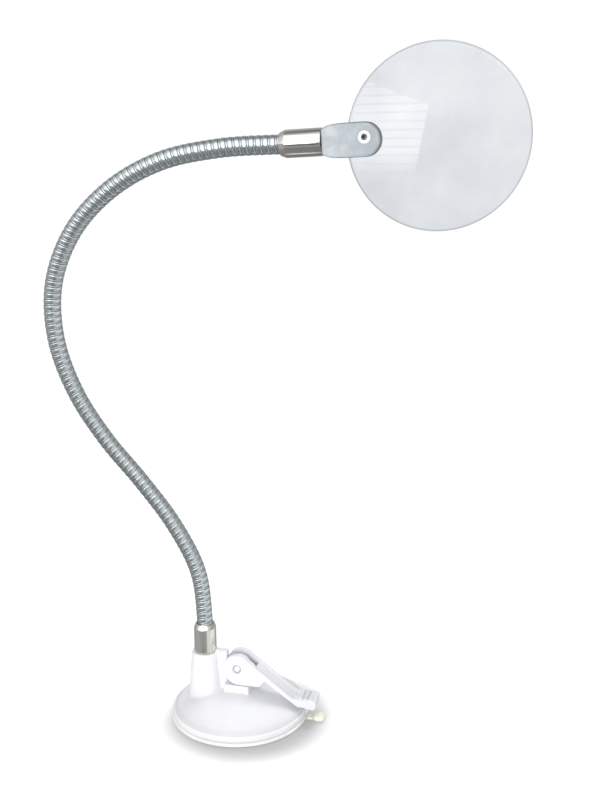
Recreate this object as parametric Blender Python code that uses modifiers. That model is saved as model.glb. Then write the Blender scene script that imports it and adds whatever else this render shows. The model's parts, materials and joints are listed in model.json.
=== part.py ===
"""Hobby magnifier: a rimless round lens on a stay-put gooseneck, standing on a lever-locked suction base.

Metres, +Z up. The origin is the centre of the base on the table. The lever points along +X, and the lens
looks along -Y.
"""

import math

import bmesh
import bpy
import numpy as np
from mathutils import Euler, Vector

MM = 0.001

# Clearances
GAP = 0.3 * MM
BEND_GAP = 1.8 * MM

# Base: a turned shell over a turned suction cup
CUP_RADIUS = 43.3 * MM
CUP_RIM_TOP = 2.0 * MM
CUP_RECESS = 2.6 * MM
CUP_BOSS_RADIUS = 8.0 * MM
CUP_BOSS_TOP = 10.6 * MM
SHELL_RADIUS = 42.5 * MM
SHELL_WALL = 2.2 * MM
SHELL_BOTTOM = CUP_RIM_TOP + GAP
DOME_FOOT_RADIUS = 41.6 * MM
DOME_FOOT = 7.0 * MM
# Where the dome drops to the flange, as (radius, height) in mm
FLANGE_MM = [(40.6, 7.0), (41.1, 6.1), (42.0, 6.0), (42.5, 5.3)]
DOME_TOP_RADIUS = 9.0 * MM
DOME_TOP = 15.6 * MM
DOME_BULGE = 1.0 * MM

# Column that carries the neck, its bridge wall and the stem's guide block
COLUMN_X = -22.5 * MM
COLUMN_TOP = 39.4 * MM
COLUMN_FOOT = 7.5 * MM
COLUMN_TOP_RADIUS = 8.5 * MM
COLUMN_FOOT_RADIUS = 11.2 * MM
BRIDGE_X = (-15.1 * MM, -7.6 * MM)
BRIDGE_TOP = 40.8 * MM
BRIDGE_WIDTH = 4.8 * MM
BLOCK_X = (-8.7 * MM, 7.4 * MM)
BLOCK_WIDTH = 14.0 * MM
BLOCK_TOP = 20.5 * MM

# Cam lever, stem and pin
PIN_Z = 31.6 * MM
PIN_RADIUS = 2.1 * MM
HUB_RADIUS = 8.8 * MM
LEVER_WIDTH = 13.5 * MM
LEVER_SLOT = 5.6 * MM
SLOT_END_X = 11.6 * MM
LEVER_TURN = math.radians(85)
STEM_TRAVEL = 2.3 * MM
CAM_REACH = PIN_Z - BLOCK_TOP - 0.45 * MM
STEM_HEAD_RADIUS = 6.6 * MM
STEM_WIDTH = 9.2 * MM
STEM_THICK = 5.0 * MM
STEM_FOOT_RADIUS = 5.0 * MM
STEM_SHANK_RADIUS = 2.6 * MM

# Release tab on the cup's rim
TAB_HINGE_X = 44.4 * MM
TAB_HINGE_Z = 1.0 * MM
TAB_THICK = 1.4 * MM
TAB_WIDTH = 4.6 * MM
TAB_BEAD_X = 52.2 * MM
TAB_BEAD_SIZE = (6.0 * MM, 10.0 * MM, 3.8 * MM)

# Neck: two nested wires, cut into rigid lengths that hinge on one another
WEDGE_WIRE_RADIUS = 5.0 * MM
WEDGE_WIRE_WALL = 0.85 * MM
ROUND_WIRE_RADIUS = 3.7 * MM
ROUND_WIRE_WALL = 0.8 * MM
NECK_LENGTHS = 12
NECK_STUB = 9.5 * MM
NECK_ROUTE_MM = [
    (-22.5, 0.0, 48.0),
    (-23.0, 0.0, 77.0),
    (-31.8, -1.5, 107.3),
    (-58.0, -7.0, 149.0),
    (-86.0, -16.0, 190.0),
    (-99.5, -25.0, 229.5),
    (-98.5, -32.5, 268.0),
    (-78.0, -39.5, 306.0),
    (-44.0, -45.0, 331.5),
    (-9.0, -48.0, 343.0),
]

# Ferrules, bolt and washer
FERRULE_RADIUS = 7.0 * MM
FERRULE_CHAMFER = 3.0 * MM
FERRULE_MOUTH_RADIUS = 5.9 * MM
FERRULE_BORE = WEDGE_WIRE_RADIUS + GAP
LOWER_FERRULE_BOTTOM = COLUMN_TOP + GAP
LOWER_FERRULE_TOP = 58.0 * MM
BOLT_RADIUS = 2.4 * MM
BOLT_HOLE = 2.75 * MM
BOLT_HEAD_RADIUS = 4.4 * MM
BOLT_HEAD_TOP = 29.1 * MM
BOLT_HEAD_HEIGHT = 3.5 * MM
BOLT_END = 45.5 * MM
COUNTERBORE_RADIUS = 5.4 * MM
COUNTERBORE_TOP = 30.5 * MM

# Head: every piece is placed along the head's own axis, from the ferrule's neck end
HEAD_ORIGIN = Vector((40.7, -49.4, 346.5)) * MM
HEAD_TILT = math.radians(4.0)
HEAD_RISE = math.radians(2.4)
UPPER_FERRULE_LENGTH = 21.6 * MM
HOLDER_START = UPPER_FERRULE_LENGTH + GAP
HOLDER_END = 51.8 * MM
HOLDER_WIDTH = 17.0 * MM
HOLDER_THICK = 12.4 * MM
# Half widths in mm, by distance from the root
HOLDER_ROOT = [(13.0, 8.5), (6.0, 8.15), (2.5, 7.4), (1.0, 6.7), (0.0, 5.8)]
HOLDER_SLOT = 5.3 * MM
RIVET = Vector((43.9, 0.0, 1.1)) * MM
LENS_RADIUS = 45.2 * MM
LENS_EDGE = 2.2 * MM
LENS_SAG = 1.9 * MM
LENS_REACH = 35.6 * MM
LENS_REST = math.radians(-4.0)
STUD_START = 13.0 * MM
STUD_END = 29.0 * MM
BUSH_RADIUS = 2.2 * MM
BUSH_FLANGE_RADIUS = 3.1 * MM
BUSH_FLANGE_THICK = 0.8 * MM
RIVET_RADIUS = 1.35 * MM
RIVET_BORE = 0.9 * MM

parts = None
cutters = None
head = None


# ---------------------------------------------------------------- scene and materials


def clear_scene():
    for thing in list(bpy.data.objects):
        bpy.data.objects.remove(thing, do_unlink=True)


def new_collection(name):
    made = bpy.data.collections.new(name)
    bpy.context.scene.collection.children.link(made)
    return made


def material(name, colour, roughness, metallic=0.0, alpha=1.0):
    made = bpy.data.materials.new(name)
    made.use_nodes = True
    shader = made.node_tree.nodes["Principled BSDF"]
    shader.inputs["Base Color"].default_value = (*colour, 1.0)
    shader.inputs["Roughness"].default_value = roughness
    shader.inputs["Metallic"].default_value = metallic
    shader.inputs["Alpha"].default_value = alpha
    made.diffuse_color = (*colour, alpha)
    return made


def move_to(thing, collection):
    for old in list(thing.users_collection):
        old.objects.unlink(thing)
    collection.objects.link(thing)


def finish(thing, name, look):
    """Names the piece, gives it its material and smooth shading, and files it with the parts."""
    thing.name = name
    thing.data.name = name
    thing.data.materials.clear()
    thing.data.materials.append(look)
    if thing.type == "MESH":
        thing.data.shade_smooth()
        thing.data.set_sharp_from_angle(angle=math.radians(35))
    move_to(thing, parts)
    return thing


def as_cutter(thing, name):
    thing.name = name
    thing.hide_render = True
    thing.display_type = "WIRE"
    move_to(thing, cutters)
    return thing


# ---------------------------------------------------------------- shape helpers


def box(low, high):
    """A box between two corners, its scale applied."""
    low = Vector(low)
    high = Vector(high)
    bpy.ops.mesh.primitive_cube_add(size=1, location=(low + high) / 2)
    thing = bpy.context.object
    thing.scale = high - low
    bpy.ops.object.transform_apply(location=False, rotation=False, scale=True)
    return thing


def cylinder(radius, start, end, sides=32, end_radius=None):
    """A cylinder, or a cone, from one point to another."""
    start = Vector(start)
    end = Vector(end)
    bpy.ops.mesh.primitive_cone_add(
        vertices=sides,
        radius1=radius,
        radius2=radius if end_radius is None else end_radius,
        depth=(end - start).length,
        location=(start + end) / 2,
        rotation=(end - start).to_track_quat("Z", "Y").to_euler(),
    )
    return bpy.context.object


def turned(profile, steps, closed=False):
    """A solid turned about local Z from (radius, height) points that run down the outer side."""
    mesh = bpy.data.meshes.new("profile")
    points = [(radius, 0.0, height) for radius, height in profile]
    edges = [(i, i + 1) for i in range(len(points) - 1)]
    if closed:
        edges.append((len(points) - 1, 0))
    mesh.from_pydata(points, edges, [])
    thing = bpy.data.objects.new("turned", mesh)
    parts.objects.link(thing)
    screw = thing.modifiers.new("turn", "SCREW")
    screw.steps = steps
    screw.render_steps = steps
    screw.use_merge_vertices = True
    screw.merge_threshold = 0.00001
    return thing


def prism(outline, thickness):
    """A flat outline of (x, z) points, extruded along Y and centred on y = 0."""
    mesh = bpy.data.meshes.new("prism")
    shape = bmesh.new()
    corners = [shape.verts.new((x, -thickness / 2, z)) for x, z in outline]
    face = shape.faces.new(corners)
    grown = bmesh.ops.extrude_face_region(shape, geom=[face])
    moved = [item for item in grown["geom"] if isinstance(item, bmesh.types.BMVert)]
    bmesh.ops.translate(shape, verts=moved, vec=(0, thickness, 0))
    bmesh.ops.recalc_face_normals(shape, faces=shape.faces)
    shape.to_mesh(mesh)
    shape.free()
    thing = bpy.data.objects.new("prism", mesh)
    parts.objects.link(thing)
    return thing


def bevel(thing, width, segments=2, angle=35):
    rounding = thing.modifiers.new("rounding", "BEVEL")
    rounding.width = width
    rounding.segments = segments
    rounding.limit_method = "ANGLE"
    rounding.angle_limit = math.radians(angle)


def combine(thing, other, operation):
    change = thing.modifiers.new(operation.lower(), "BOOLEAN")
    change.operation = operation
    change.object = other
    change.solver = "EXACT"


def cut(thing, cutter, name):
    combine(thing, as_cutter(cutter, name), "DIFFERENCE")


def join(thing, piece, name):
    combine(thing, as_cutter(piece, name), "UNION")


def arc(centre, radius, start, end, count):
    """Points on a circle, from one angle in degrees to another."""
    angles = np.radians(np.linspace(start, end, count))
    return [(centre[0] + radius * math.cos(a), centre[1] + radius * math.sin(a)) for a in angles]


# ---------------------------------------------------------------- base


def dome_height(radius):
    """Height of the shell's outer face: a shallow cone that rounds over towards the middle."""
    share = (radius - DOME_TOP_RADIUS) / (DOME_FOOT_RADIUS - DOME_TOP_RADIUS)
    return DOME_TOP + (DOME_FOOT - DOME_TOP) * share + DOME_BULGE * math.sin(math.pi * share)


def make_base_shell(look):
    dome = [(radius * MM, dome_height(radius * MM)) for radius in (9.0, 17.0, 25.0, 33.0, 39.4)]
    outer = [(0.0, DOME_TOP + 0.5 * MM), *dome]
    outer += [(radius * MM, height * MM) for radius, height in FLANGE_MM]
    outer += [(SHELL_RADIUS, SHELL_BOTTOM)]
    inner = [(SHELL_RADIUS - SHELL_WALL, SHELL_BOTTOM), (SHELL_RADIUS - SHELL_WALL, DOME_FOOT - SHELL_WALL)]
    inner += [(radius, height - SHELL_WALL) for radius, height in reversed(dome[:-1])]
    inner += [(0.0, DOME_TOP + 0.5 * MM - SHELL_WALL)]
    shell = finish(turned(outer + inner, 44), "base_shell", look)

    column = cylinder(
        COLUMN_FOOT_RADIUS,
        (COLUMN_X, 0, COLUMN_FOOT),
        (COLUMN_X, 0, COLUMN_TOP),
        end_radius=COLUMN_TOP_RADIUS,
    )
    bridge = box(
        (BRIDGE_X[0], -BRIDGE_WIDTH / 2, DOME_TOP - 2.5 * MM),
        (BRIDGE_X[1], BRIDGE_WIDTH / 2, BRIDGE_TOP),
    )
    block = box(
        (BLOCK_X[0], -BLOCK_WIDTH / 2, DOME_TOP - 1.5 * MM),
        (BLOCK_X[1], BLOCK_WIDTH / 2, BLOCK_TOP),
    )
    for piece, name in ((column, "column"), (bridge, "bridge"), (block, "guide_block")):
        join(shell, piece, name)

    slot_x = STEM_WIDTH / 2 + GAP
    slot_y = STEM_THICK / 2 + GAP
    cut(shell, box((-slot_x, -slot_y, 0), (slot_x, slot_y, BLOCK_TOP + 5 * MM)), "stem_slot")
    well = cylinder(COUNTERBORE_RADIUS, (COLUMN_X, 0, 0), (COLUMN_X, 0, COUNTERBORE_TOP))
    cut(shell, well, "bolt_well")
    hole = cylinder(BOLT_HOLE, (COLUMN_X, 0, 0), (COLUMN_X, 0, COLUMN_TOP + 5 * MM), 24)
    cut(shell, hole, "bolt_hole")
    return shell


def make_suction_cup(look):
    pocket = STEM_FOOT_RADIUS + GAP
    neck = STEM_SHANK_RADIUS + GAP
    profile = [(0.0, 5.2 * MM), (pocket, 5.2 * MM), (pocket, 8.0 * MM), (neck, 8.0 * MM), (neck, CUP_BOSS_TOP)]
    profile += [(CUP_BOSS_RADIUS, CUP_BOSS_TOP), (CUP_BOSS_RADIUS + 0.6 * MM, 6.0 * MM), (20 * MM, 4.6 * MM)]
    profile += [(32 * MM, 3.4 * MM), (39.3 * MM, CUP_RIM_TOP), (CUP_RADIUS - 0.4 * MM, CUP_RIM_TOP)]
    profile += [(CUP_RADIUS, 1.5 * MM), (CUP_RADIUS, 0.5 * MM), (CUP_RADIUS - 0.4 * MM, 0.0)]
    profile += [(33 * MM, 0.0), (26 * MM, 0.9 * MM), (12 * MM, 2.3 * MM), (0.0, CUP_RECESS)]
    return finish(turned(profile, 44), "suction_cup", look)


def make_release_tab(look):
    """A thin neck with a rounded hinge end, and a thick bead across its tip."""
    radius = TAB_THICK / 2
    outline = arc((0, 0), radius, 90, 270, 7)
    outline += [(TAB_BEAD_X - TAB_HINGE_X, -radius), (TAB_BEAD_X - TAB_HINGE_X, radius)]
    tab = finish(prism(outline, TAB_WIDTH), "release_tab", look)
    tab.location = (TAB_HINGE_X, 0, TAB_HINGE_Z)
    half = Vector(TAB_BEAD_SIZE) / 2
    centre = Vector((TAB_BEAD_X, 0, half.z))
    bead = box(centre - half, centre + half)
    bevel(bead, 1.5 * MM, 3)
    join(tab, bead, "tab_bead")
    return tab


def make_pull_stem(look):
    """Foot disc, round shank, flat blade and a round eye for the pin."""
    foot = (5.5 * MM, 7.7 * MM)
    blade_bottom = CUP_BOSS_TOP + 0.7 * MM
    profile = [(0.0, blade_bottom + 1 * MM), (STEM_SHANK_RADIUS, blade_bottom + 1 * MM)]
    profile += [(STEM_SHANK_RADIUS, foot[1]), (STEM_FOOT_RADIUS, foot[1]), (STEM_FOOT_RADIUS, foot[0])]
    profile += [(0.0, foot[0])]
    stem = finish(turned(profile, 24), "pull_stem", look)

    waist = math.degrees(math.asin(STEM_WIDTH / 2 / STEM_HEAD_RADIUS))
    outline = arc((0, PIN_Z), STEM_HEAD_RADIUS, -90 + waist, 270 - waist, 25)
    outline += [(-STEM_WIDTH / 2, blade_bottom), (STEM_WIDTH / 2, blade_bottom)]
    join(stem, prism(outline, STEM_THICK), "stem_blade")
    eye = cylinder(PIN_RADIUS + GAP, (0, -STEM_THICK, PIN_Z), (0, STEM_THICK, PIN_Z), 20)
    cut(stem, eye, "stem_eye")
    return stem


def cam_radius(angle):
    """Reach of the cam, by angle in degrees from straight down towards the column."""
    drop = STEM_TRAVEL / LEVER_TURN * math.radians(min(angle, 85))
    blend = max(0.0, (angle - 85) / 20)
    return (CAM_REACH - drop) * (1 - blend) + HUB_RADIUS * blend


def lever_outline():
    """The lever's side view about the pin: hub, cam, heel, arm and finger pad."""
    outline = arc((0, 0), HUB_RADIUS, 46, 165, 11)
    for angle in (95, 85, 70, 55, 40, 25, 12, 0):
        turn = math.radians(-90 - angle)
        reach = cam_radius(angle)
        outline.append((reach * math.cos(turn), reach * math.sin(turn)))
    underside = [(14.2, -CAM_REACH / MM), (15.2, -9.6), (17.6, -6.2), (39.2, -21.7), (40.4, -21.1), (47.6, -22.4)]
    pad = [(49.6, -21.6), (50.4, -19.4), (50.2, -17.0), (49.3, -16.2), (35.6, -16.2)]
    return outline + [(x * MM, z * MM) for x, z in underside + pad]


def make_cam_lever(look):
    lever = finish(prism(lever_outline(), LEVER_WIDTH), "cam_lever", look)
    lever.location = (0, 0, PIN_Z)
    bevel(lever, 0.5 * MM, 1, 50)
    slot_y = LEVER_SLOT / 2
    slot = box((-15 * MM, -slot_y, PIN_Z - 15 * MM), (SLOT_END_X, slot_y, PIN_Z + 15 * MM))
    cut(lever, slot, "lever_slot")

    start = Vector((9.6, 0, 36.9)) * MM
    end = Vector((37.5, 0, 15.2)) * MM
    along = (end - start).normalized()
    up = Vector((-along.z, 0, along.x))
    floor = -1.3 * MM
    trough = box((0, -LEVER_WIDTH / 2 + 1.6 * MM, 0), ((end - start).length, LEVER_WIDTH / 2 - 1.6 * MM, 6 * MM))
    bevel(trough, 3.6 * MM, 4, 60)
    trough.rotation_euler = (0, math.atan2(-along.z, along.x), 0)
    trough.location = (start + end) / 2 + up * (floor + 3 * MM)
    cut(lever, trough, "arm_trough")

    for index in range(3):
        x = (40.6 + 3.1 * index) * MM
        z = PIN_Z - 16.35 * MM
        rib = cylinder(0.75 * MM, (x, -LEVER_WIDTH / 2 + 0.9 * MM, z), (x, LEVER_WIDTH / 2 - 0.9 * MM, z), 8)
        join(lever, rib, f"grip_rib_{index + 1}")
    hole = cylinder(PIN_RADIUS + GAP, (0, -LEVER_WIDTH, PIN_Z), (0, LEVER_WIDTH, PIN_Z), 20)
    cut(lever, hole, "pin_hole")
    return lever


def make_lever_pin(look):
    half = LEVER_WIDTH / 2
    pin = finish(cylinder(PIN_RADIUS, (0, -half, PIN_Z), (0, half, PIN_Z), 20), "lever_pin", look)
    bevel(pin, 0.4 * MM, 2)
    return pin


# ---------------------------------------------------------------- ferrules and fasteners


def ferrule_profile(length, seat, bore):
    """A ferrule seen from its mouth: chamfered at the top, bored for the neck down to its seat."""
    profile = [(FERRULE_MOUTH_RADIUS, 0.0), (FERRULE_RADIUS, -FERRULE_CHAMFER)]
    profile += [(FERRULE_RADIUS, -length + 0.3 * MM), (FERRULE_RADIUS - 0.3 * MM, -length)]
    profile += [(bore, -length), (bore, -seat), (FERRULE_BORE, -seat), (FERRULE_BORE, 0.0)]
    return profile


def make_lower_ferrule(look):
    length = LOWER_FERRULE_TOP - LOWER_FERRULE_BOTTOM
    ferrule = turned(ferrule_profile(length, 11 * MM, BOLT_HOLE), 32, closed=True)
    ferrule.location = (COLUMN_X, 0, LOWER_FERRULE_TOP)
    return finish(ferrule, "lower_ferrule", look)


def make_base_bolt(look):
    bottom = BOLT_HEAD_TOP - BOLT_HEAD_HEIGHT
    hexagon = cylinder(BOLT_HEAD_RADIUS, (COLUMN_X, 0, bottom), (COLUMN_X, 0, BOLT_HEAD_TOP), 6)
    bolt = finish(hexagon, "base_bolt", look)
    shank = cylinder(BOLT_RADIUS, (COLUMN_X, 0, bottom + 1 * MM), (COLUMN_X, 0, BOLT_END), 20)
    join(bolt, shank, "bolt_shank")
    return bolt


def make_bolt_washer(look):
    low = BOLT_HEAD_TOP + GAP
    high = COUNTERBORE_TOP - GAP
    radius = COUNTERBORE_RADIUS - 0.5 * MM
    washer = turned([(radius, high), (radius, low), (BOLT_HOLE, low), (BOLT_HOLE, high)], 24, closed=True)
    washer.location = (COLUMN_X, 0, 0)
    return finish(washer, "bolt_washer", look)


# ---------------------------------------------------------------- neck


def head_rotation():
    return Euler((HEAD_TILT, -HEAD_RISE, 0)).to_matrix()


def neck_route():
    """A fine polyline through the route's points, ending straight along the head's axis."""
    along = head_rotation() @ Vector((1, 0, 0))
    points = [Vector(point) * MM for point in NECK_ROUTE_MM]
    points += [HEAD_ORIGIN, HEAD_ORIGIN + along * NECK_STUB]
    before = points[0] * 2 - points[1]
    after = points[-1] * 2 - points[-2]
    knots = [before, *points, after]
    fine = []
    for p0, p1, p2, p3 in zip(knots, knots[1:], knots[2:], knots[3:]):
        t1 = (p1 - p0).length ** 0.5
        t2 = t1 + (p2 - p1).length ** 0.5
        t3 = t2 + (p3 - p2).length ** 0.5
        for step in range(24):
            t = t1 + (t2 - t1) * step / 24
            a1 = p0.lerp(p1, t / t1)
            a2 = p1.lerp(p2, (t - t1) / (t2 - t1))
            a3 = p2.lerp(p3, (t - t2) / (t3 - t2))
            fine.append(a1.lerp(a2, t / t2).lerp(a2.lerp(a3, (t - t1) / (t3 - t1)), (t - t1) / (t2 - t1)))
    return [*fine, points[-1]]


class Route:
    """The neck's centre line, measured by arc length."""

    def __init__(self):
        self.points = np.array(neck_route())
        steps = np.linalg.norm(np.diff(self.points, axis=0), axis=1)
        self.lengths = np.concatenate([[0.0], np.cumsum(steps)])
        self.start = LOWER_FERRULE_TOP - self.points[0][2]
        self.end = self.lengths[-1] - NECK_STUB

    def at(self, length):
        return Vector([np.interp(length, self.lengths, self.points[:, axis]) for axis in range(3)])

    def tangent(self, length):
        return (self.at(length + 1 * MM) - self.at(length - 1 * MM)).normalized()

    def bend(self, index):
        """Arc length of bend number index, 1 to NECK_LENGTHS - 1."""
        return self.start + (self.end - self.start) * index / NECK_LENGTHS


def bend_axis(route, index):
    """Odd bends turn the neck in its own plane, and even bends turn it sideways."""
    tangent = route.tangent(route.bend(index))
    across = Vector((0, -1, 0))
    across = (across - tangent * across.dot(tangent)).normalized()
    return across if index % 2 else tangent.cross(across).normalized()


def make_tube(route, start, end, radius, wall):
    """A hollow tube along a stretch of the route."""
    curve = bpy.data.curves.new("tube", "CURVE")
    curve.dimensions = "3D"
    curve.bevel_depth = radius
    curve.bevel_resolution = 4
    curve.use_fill_caps = False
    spline = curve.splines.new("POLY")
    stops = np.linspace(start, end, 5)
    spline.points.add(len(stops) - 1)
    for point, stop in zip(spline.points, stops):
        point.co = (*route.at(stop), 1.0)
    tube = bpy.data.objects.new("tube", curve)
    parts.objects.link(tube)
    walls = tube.modifiers.new("wall", "SOLIDIFY")
    walls.thickness = wall
    walls.offset = -1.0
    return tube


def make_neck(wedge_look, round_look):
    route = Route()
    for index in range(1, NECK_LENGTHS + 1):
        start = route.bend(index - 1) + BEND_GAP / 2
        end = route.bend(index) - BEND_GAP / 2
        if index == 1:
            start = route.start - NECK_STUB
        if index == NECK_LENGTHS:
            end = route.end + NECK_STUB - GAP
        wedge = make_tube(route, start, end, WEDGE_WIRE_RADIUS, WEDGE_WIRE_WALL)
        finish(wedge, f"neck_wedge_wire_{index:02d}", wedge_look)
        core = make_tube(route, start, end, ROUND_WIRE_RADIUS, ROUND_WIRE_WALL)
        finish(core, f"neck_round_wire_{index:02d}", round_look)


# ---------------------------------------------------------------- head


def on_head(thing):
    """Hangs a piece, built in the head's own axes, on the head's frame."""
    thing.parent = head
    return thing


def make_upper_ferrule(look):
    ferrule = turned(ferrule_profile(UPPER_FERRULE_LENGTH, 11 * MM, BOLT_HOLE), 32, closed=True)
    ferrule.rotation_euler = (0, -math.pi / 2, 0)
    return on_head(finish(ferrule, "upper_ferrule", look))


def make_holder_stud(look):
    stud = cylinder(BOLT_RADIUS, (STUD_START, 0, 0), (STUD_END, 0, 0), 20)
    bevel(stud, 0.4 * MM, 1)
    return on_head(finish(stud, "holder_stud", look))


def rivet_hole():
    """Cutter for the bushes' hole, right through the holder and the lens."""
    depth = Vector((0, HOLDER_THICK, 0))
    return cylinder(BUSH_RADIUS + GAP, RIVET - depth, RIVET + depth, 24)


def holder_outline():
    """Rounded oblong, narrowing gently to its root."""
    half = HOLDER_WIDTH / 2
    tip = [(HOLDER_END - half * 0.92 + half * 0.92 * x, half * z) for x, z in arc((0, 0), 1, -90, 90, 15)]
    upper = [(HOLDER_START + x * MM, width * MM) for x, width in HOLDER_ROOT]
    lower = [(x, -z) for x, z in reversed(upper)]
    return tip + upper + lower


def make_lens_holder(look):
    holder = on_head(finish(prism(holder_outline(), HOLDER_THICK), "lens_holder", look))
    bevel(holder, 2.2 * MM, 2, 50)
    reach = HOLDER_WIDTH
    outline = [(-13.3 * MM, 0), (-18 * MM, 0.55 * reach), (-18 * MM, reach), (20 * MM, reach)]
    outline += [(x, -z) for x, z in reversed(outline[1:])]
    slot = on_head(prism(outline, HOLDER_SLOT))
    slot.location = RIVET
    cut(holder, slot, "holder_slot")
    bore = on_head(cylinder(BOLT_HOLE, (HOLDER_START - 5 * MM, 0, 0), (STUD_END + 0.3 * MM, 0, 0), 20))
    cut(holder, bore, "stud_bore")
    cut(holder, on_head(rivet_hole()), "holder_rivet_hole")
    return holder


def make_lens(look):
    """A slim double-convex disc, turned about the axis it looks along, and bored near its edge."""
    radii = [LENS_RADIUS * share for share in (0.0, 0.3, 0.55, 0.8, 1.0)]
    front = [(radius, LENS_EDGE / 2 + LENS_SAG * (1 - (radius / LENS_RADIUS) ** 2)) for radius in radii]
    back = [(radius, -height) for radius, height in reversed(front)]
    lens = on_head(finish(turned(front + back, 48), "lens", look))
    reach = Vector((math.cos(LENS_REST), 0, math.sin(LENS_REST))) * LENS_REACH
    lens.location = RIVET + reach
    lens.rotation_euler = (math.pi / 2, 0, 0)
    cut(lens, on_head(rivet_hole()), "lens_rivet_hole")
    return lens


def make_rivet(look, bush_look):
    face = HOLDER_THICK / 2 + GAP
    end = face + BUSH_FLANGE_THICK
    tube = [(RIVET_RADIUS, end), (RIVET_RADIUS, -end), (RIVET_BORE, -end), (RIVET_BORE, end)]
    rivet = on_head(finish(turned(tube, 20, closed=True), "pivot_rivet", look))
    rivet.location = RIVET
    rivet.rotation_euler = (math.pi / 2, 0, 0)

    bore = RIVET_RADIUS + GAP
    flange = [(BUSH_FLANGE_RADIUS, end), (BUSH_FLANGE_RADIUS, face), (BUSH_RADIUS, face), (BUSH_RADIUS, GAP)]
    flange += [(bore, GAP), (bore, end)]
    for name, turn in (("rivet_bush_front", math.pi / 2), ("rivet_bush_rear", -math.pi / 2)):
        bush = on_head(finish(turned(flange, 28, closed=True), name, bush_look))
        bush.location = RIVET
        bush.rotation_euler = (turn, 0, 0)


def main():
    global parts, cutters, head
    clear_scene()
    parts = new_collection("hobby_magnifier")
    cutters = new_collection("cutters")
    head = bpy.data.objects.new("head_frame", None)
    head.location = HEAD_ORIGIN
    head.rotation_euler = (HEAD_TILT, -HEAD_RISE, 0)
    parts.objects.link(head)

    white = material("white_abs", (0.86, 0.86, 0.87), 0.22)
    vinyl = material("clear_pvc", (0.80, 0.84, 0.74), 0.25, alpha=0.8)
    nickel = material("nickel", (0.72, 0.70, 0.65), 0.15, 1.0)
    wedge = material("wedge_wire", (0.55, 0.58, 0.60), 0.28, 1.0)
    wire = material("round_wire", (0.45, 0.47, 0.50), 0.35, 1.0)
    zinc = material("zinc_steel", (0.60, 0.61, 0.62), 0.35, 1.0)
    frosted = material("frosted_holder", (0.62, 0.69, 0.75), 0.4, alpha=0.8)
    acrylic = material("clear_acrylic", (0.90, 0.93, 0.95), 0.02, alpha=0.25)
    nylon = material("white_nylon", (0.90, 0.90, 0.90), 0.35)

    make_base_shell(white)
    make_suction_cup(vinyl)
    make_release_tab(vinyl)
    make_pull_stem(white)
    make_cam_lever(white)
    make_lever_pin(white)
    make_lower_ferrule(nickel)
    make_base_bolt(zinc)
    make_bolt_washer(zinc)
    make_neck(wedge, wire)
    make_upper_ferrule(nickel)
    make_holder_stud(zinc)
    make_lens_holder(frosted)
    make_lens(acrylic)
    make_rivet(zinc, nylon)


if __name__ == "__main__":
    main()
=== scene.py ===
"""Looks of the hobby magnifier: a rimless lens on a stay-put gooseneck over a lever-locked suction base.

Lengths are in metres, +Z up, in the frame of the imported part. The pieces built here stand for plainer nodes
of the part, and ride on the same bodies. The lever points along +X and the lens looks along -Y.
"""

import json
import math

import bmesh
import bpy
import numpy as np
from mathutils import Matrix, Vector


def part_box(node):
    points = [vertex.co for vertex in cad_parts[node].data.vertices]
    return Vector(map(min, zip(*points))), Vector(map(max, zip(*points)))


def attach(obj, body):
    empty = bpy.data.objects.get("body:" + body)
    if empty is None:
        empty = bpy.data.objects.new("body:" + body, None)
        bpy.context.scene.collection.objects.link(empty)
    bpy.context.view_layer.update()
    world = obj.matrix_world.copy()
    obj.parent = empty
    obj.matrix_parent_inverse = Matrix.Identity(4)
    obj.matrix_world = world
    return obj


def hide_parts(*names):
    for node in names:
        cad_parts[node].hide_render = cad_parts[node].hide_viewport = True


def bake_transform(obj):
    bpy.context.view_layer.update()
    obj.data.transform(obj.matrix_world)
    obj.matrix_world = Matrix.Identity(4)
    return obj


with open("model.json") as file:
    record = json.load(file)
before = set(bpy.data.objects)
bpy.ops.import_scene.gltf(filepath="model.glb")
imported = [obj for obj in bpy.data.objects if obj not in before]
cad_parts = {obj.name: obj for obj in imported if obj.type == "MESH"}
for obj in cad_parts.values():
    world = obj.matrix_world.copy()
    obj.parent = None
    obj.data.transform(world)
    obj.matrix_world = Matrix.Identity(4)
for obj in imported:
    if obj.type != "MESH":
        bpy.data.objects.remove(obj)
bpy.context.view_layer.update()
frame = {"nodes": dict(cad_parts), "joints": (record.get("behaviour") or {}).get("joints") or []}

MM = 0.001

# Camera
CAMERA_PLACE = Vector((160.93, -533.81, 315.054)) * MM
CAMERA_FORWARD = Vector((-0.2121252, 0.95683493, -0.19867014))
CAMERA_LENS = 42.75
CAMERA_SENSOR = 36

# Gooseneck: a wedge wire wound in the grooves of a round wire, as (along, out) sections
HELIX_PITCH = 3.75 * MM
HELIX_STEPS = 30
NECK_STUB = 9.3 * MM
LINE_STEPS = 60
WEDGE_SECTION_MM = [
    (-1.28, 4.73), (-1.2, 4.87), (-0.75, 4.965), (0.0, 5.0), (0.75, 4.965), (1.2, 4.87), (1.28, 4.73),
    (0.3, 3.9), (-0.3, 3.9),
]
ROUND_WIRE_RADIUS = 0.98 * MM
ROUND_WIRE_CENTRE = 3.86 * MM

# Holder half widths in mm, by distance from its root
HOLDER_ROOT = [(13, 8.5), (9.2, 8.4), (6, 8.15), (4.2, 7.85), (2.5, 7.4), (1.3, 6.85), (0.5, 6.3), (0, 5.8)]

# Painted shading on the shell: its white darkens towards its crease and is lifted a little inside and on the
# flange, as (distance from the middle, factor)
SHELL_PAINTED_SHADING = [
    (0, 1.02), (34 * MM, 1.02), (38 * MM, 0.985), (40.3 * MM, 0.86), (41.2 * MM, 0.84),
    (41.6 * MM, 1.04), (43 * MM, 1.04),
]

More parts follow.
